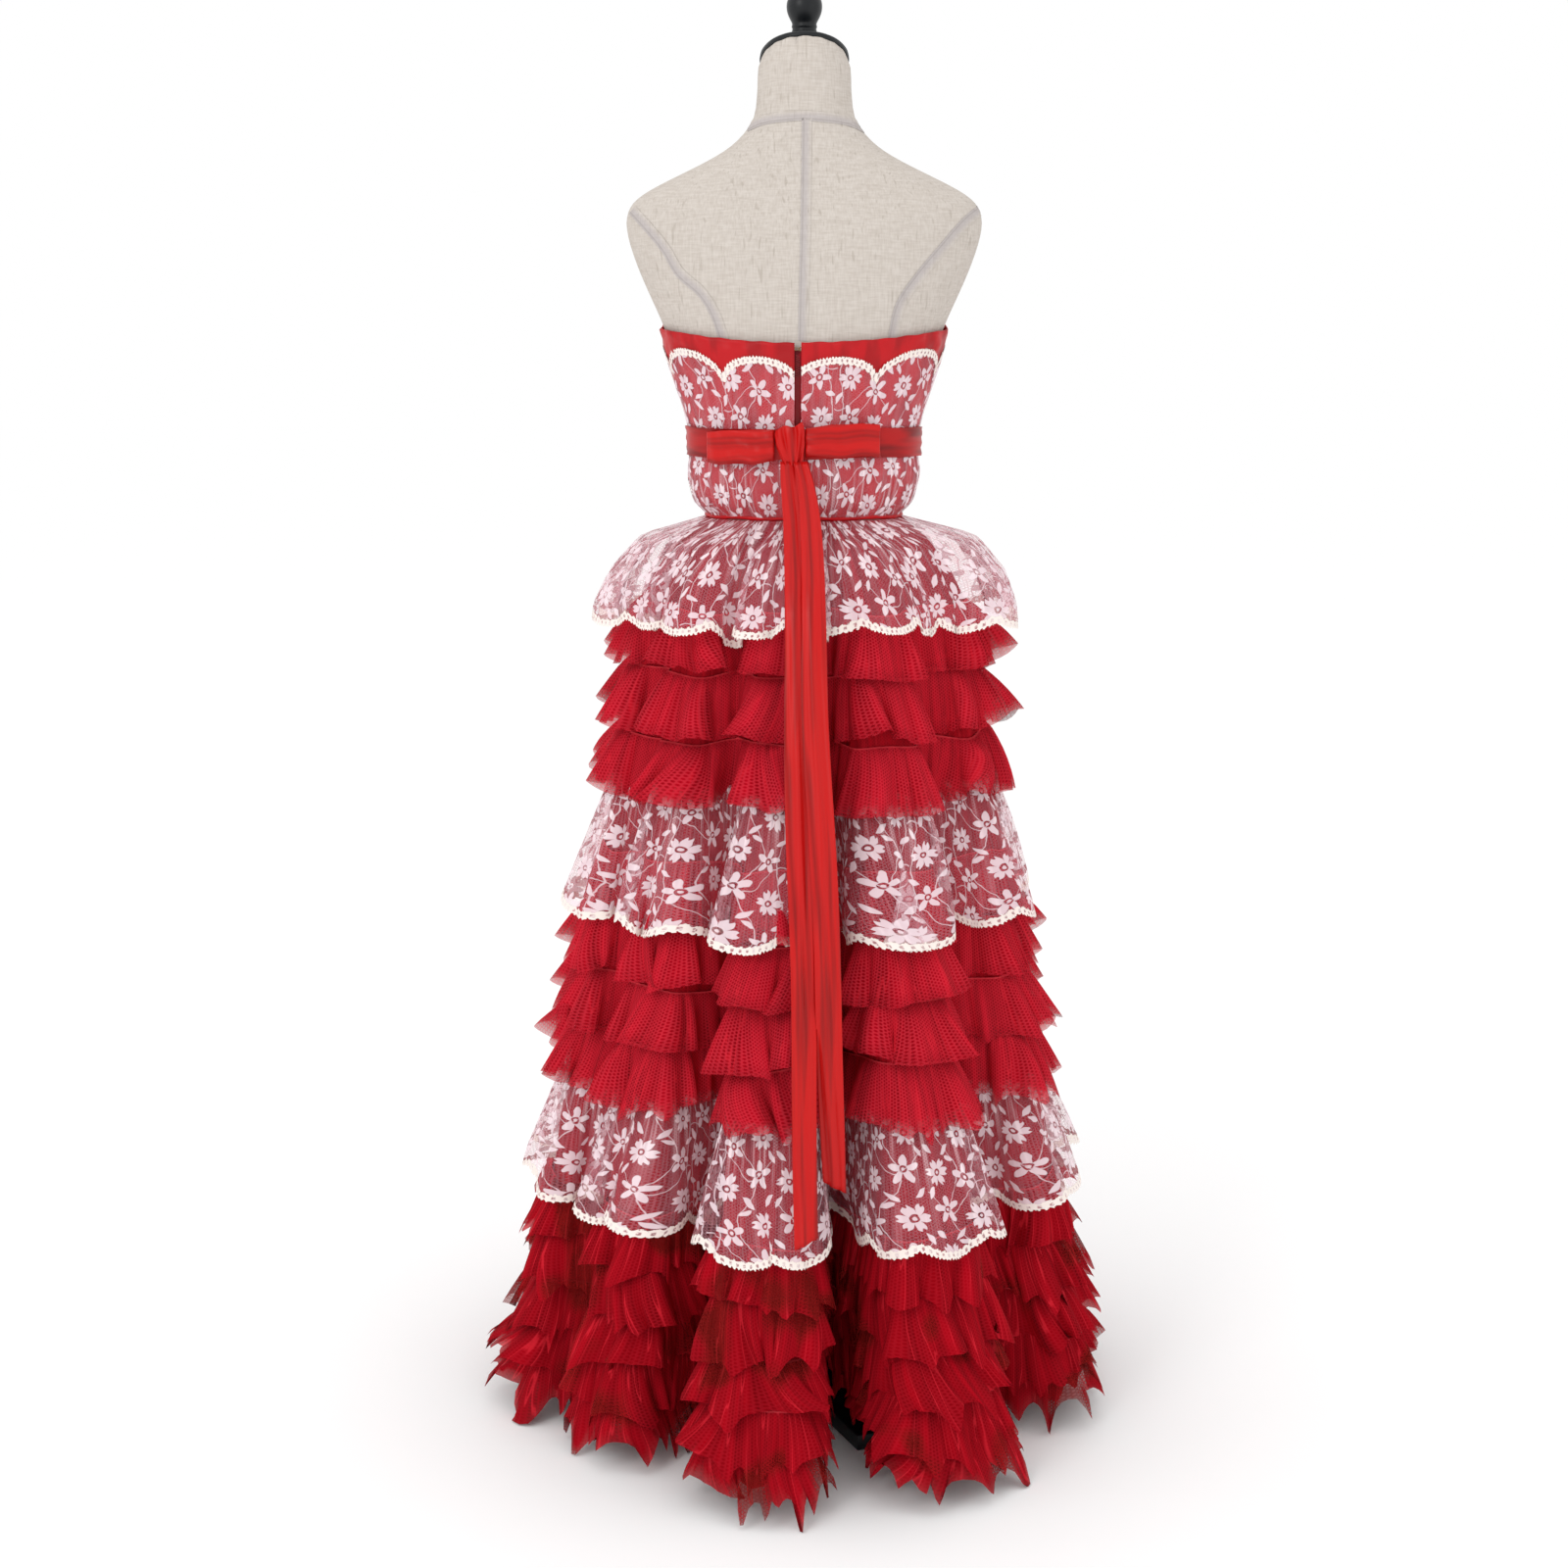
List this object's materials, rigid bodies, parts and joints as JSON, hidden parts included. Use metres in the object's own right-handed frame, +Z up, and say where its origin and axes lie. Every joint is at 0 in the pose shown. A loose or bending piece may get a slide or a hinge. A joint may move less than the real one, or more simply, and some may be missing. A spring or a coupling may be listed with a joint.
{
  "type": "prom dress on dress form",
  "caption": "Strapless full-length prom dress with a lace bodice, peplum and tiered net skirt, standing on a limbless dress form.",
  "frame": {"origin": "centre of the underside of the stand's cross, on the floor", "axes": "+Z up; the garment's front faces -Y and its centre back, with the zip slot and bow, faces +Y; the wearer's left is +X"},
  "size_m": [0.6916, 0.7357, 1.542],
  "materials": {
    "linen": "matte woven linen",
    "black_lacquer": "satin black",
    "red_satin": "satin",
    "red_net": "matte net",
    "white_lace": "matte lace",
    "red_ribbon": "satin ribbon",
    "hook_metal": "aged"
  },
  "bodies": {
    "root": {"form_torso": "linen", "form_neck_cap": "black_lacquer", "form_finial": "black_lacquer", "stand_post": "black_lacquer", "stand_base": "black_lacquer", "bodice_front": "red_satin", "bodice_back_left": "red_satin", "bodice_back_right": "red_satin", "zip_tape": "red_satin", "waist_piping": "red_satin", "lace_bodice_front": "white_lace", "lace_bodice_back_left": "white_lace", "lace_bodice_back_right": "white_lace", "peplum": "white_lace", "lace_ruffle_upper": "white_lace", "lace_ruffle_lower": "white_lace", "ribbon_band": "red_ribbon", "bow_loop_left": "red_ribbon", "bow_loop_right": "red_ribbon", "bow_knot": "red_ribbon", "streamer_left": "red_ribbon", "streamer_right": "red_ribbon", "skirt_base": "red_net", "tulle_ruffle_01": "red_net", "tulle_ruffle_02": "red_net", "tulle_ruffle_03": "red_net", "tulle_ruffle_04": "red_net", "tulle_ruffle_05": "red_net", "tulle_ruffle_06": "red_net", "tulle_ruffle_07": "red_net", "tulle_ruffle_08": "red_net", "tulle_ruffle_09": "red_net", "tulle_ruffle_10": "red_net", "tulle_ruffle_11": "red_net", "tulle_ruffle_12": "red_net", "hook_and_eye": "hook_metal"}
  },
  "joints": []
}
